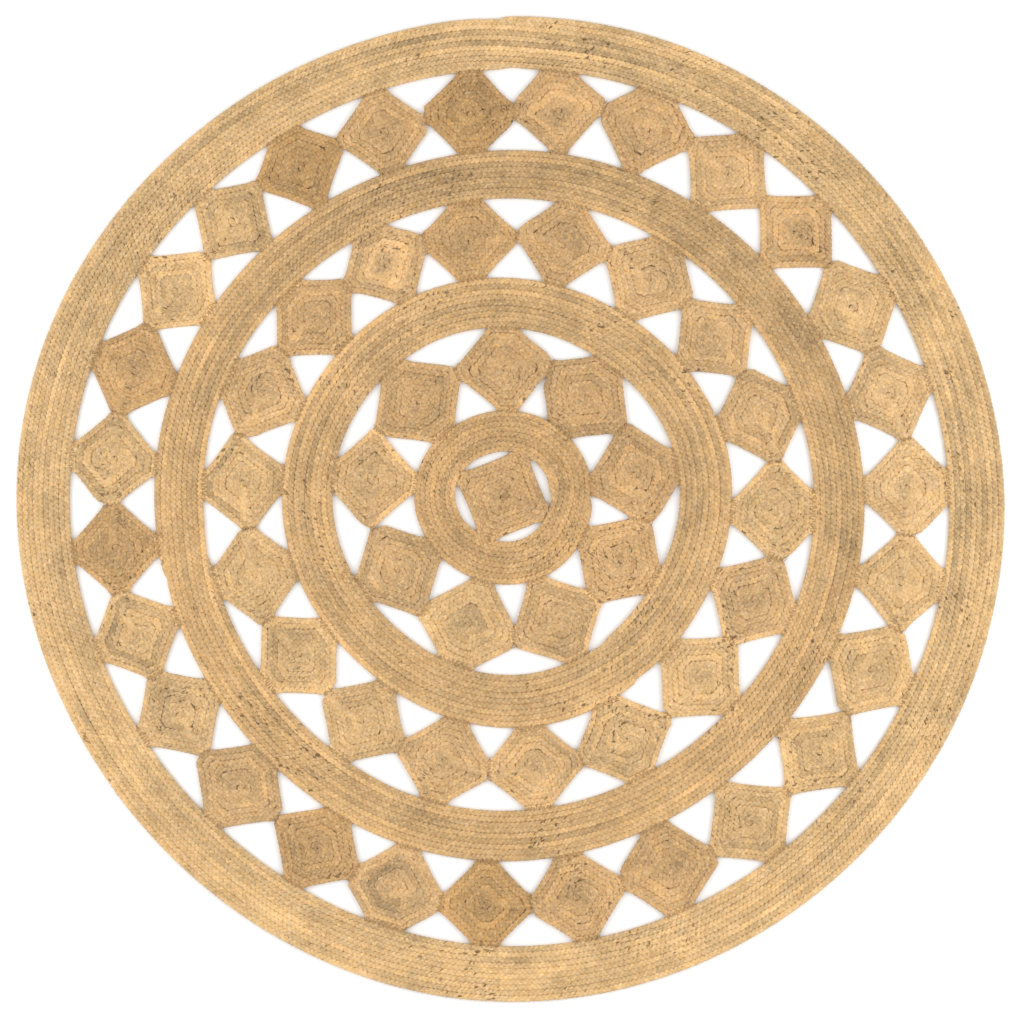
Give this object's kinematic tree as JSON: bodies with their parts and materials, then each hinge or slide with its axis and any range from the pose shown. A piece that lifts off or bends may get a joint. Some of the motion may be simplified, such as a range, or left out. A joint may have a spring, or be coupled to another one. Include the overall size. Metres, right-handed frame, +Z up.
{
  "type": "area rug",
  "caption": "Round flat openwork rug of coiled jute braid: concentric rings joined by rows of small square coils set corner to corner around a square centre.",
  "frame": {"origin": "under the middle of the rug, on the floor plane", "axes": "+Z up out of the floor, +Y towards the edge that outer_panel_01 and outer_panel_02 lie at, +X to the right of it"},
  "size_m": [1.5064, 1.5028, 0.008],
  "materials": {
    "outer_ring_jute": "matte, pale straw jute braid with dark knots",
    "second_ring_jute": "matte, golden jute braid",
    "third_ring_jute": "matte, golden jute braid",
    "inner_ring_jute": "matte, golden jute braid",
    "brown_jute": "matte, darkest brown jute braid",
    "olive_jute": "matte, grey-brown jute braid",
    "sand_jute": "matte, sand jute braid",
    "tan_jute": "matte, tan jute braid",
    "straw_jute": "matte, straw jute braid",
    "cream_jute": "matte, pale cream jute braid"
  },
  "bodies": {
    "root": {"outer_ring": "outer_ring_jute", "second_ring": "second_ring_jute", "third_ring": "third_ring_jute", "inner_ring": "inner_ring_jute", "outer_panel_01": "brown_jute", "outer_panel_02": "sand_jute", "outer_panel_03": "sand_jute", "outer_panel_04": "tan_jute", "outer_panel_05": "sand_jute", "outer_panel_06": "straw_jute", "outer_panel_07": "cream_jute", "outer_panel_08": "cream_jute", "outer_panel_09": "straw_jute", "outer_panel_10": "straw_jute", "outer_panel_11": "straw_jute", "outer_panel_12": "straw_jute", "outer_panel_13": "sand_jute", "outer_panel_14": "sand_jute", "outer_panel_15": "brown_jute", "outer_panel_16": "tan_jute", "outer_panel_17": "olive_jute", "outer_panel_18": "tan_jute", "outer_panel_19": "cream_jute", "outer_panel_20": "straw_jute", "outer_panel_21": "olive_jute", "outer_panel_22": "straw_jute", "outer_panel_23": "olive_jute", "outer_panel_24": "straw_jute", "outer_panel_25": "straw_jute", "outer_panel_26": "brown_jute", "outer_panel_27": "sand_jute", "middle_panel_01": "olive_jute", "middle_panel_02": "sand_jute", "middle_panel_03": "tan_jute", "middle_panel_04": "tan_jute", "middle_panel_05": "tan_jute", "middle_panel_06": "straw_jute", "middle_panel_07": "tan_jute", "middle_panel_08": "straw_jute", "middle_panel_09": "straw_jute", "middle_panel_10": "tan_jute", "middle_panel_11": "tan_jute", "middle_panel_12": "straw_jute", "middle_panel_13": "straw_jute", "middle_panel_14": "straw_jute", "middle_panel_15": "straw_jute", "middle_panel_16": "tan_jute", "middle_panel_17": "sand_jute", "middle_panel_18": "tan_jute", "inner_panel_01": "sand_jute", "inner_panel_02": "sand_jute", "inner_panel_03": "sand_jute", "inner_panel_04": "sand_jute", "inner_panel_05": "tan_jute", "inner_panel_06": "straw_jute", "inner_panel_07": "tan_jute", "inner_panel_08": "tan_jute", "inner_panel_09": "sand_jute", "centre_panel": "sand_jute"}
  },
  "joints": []
}
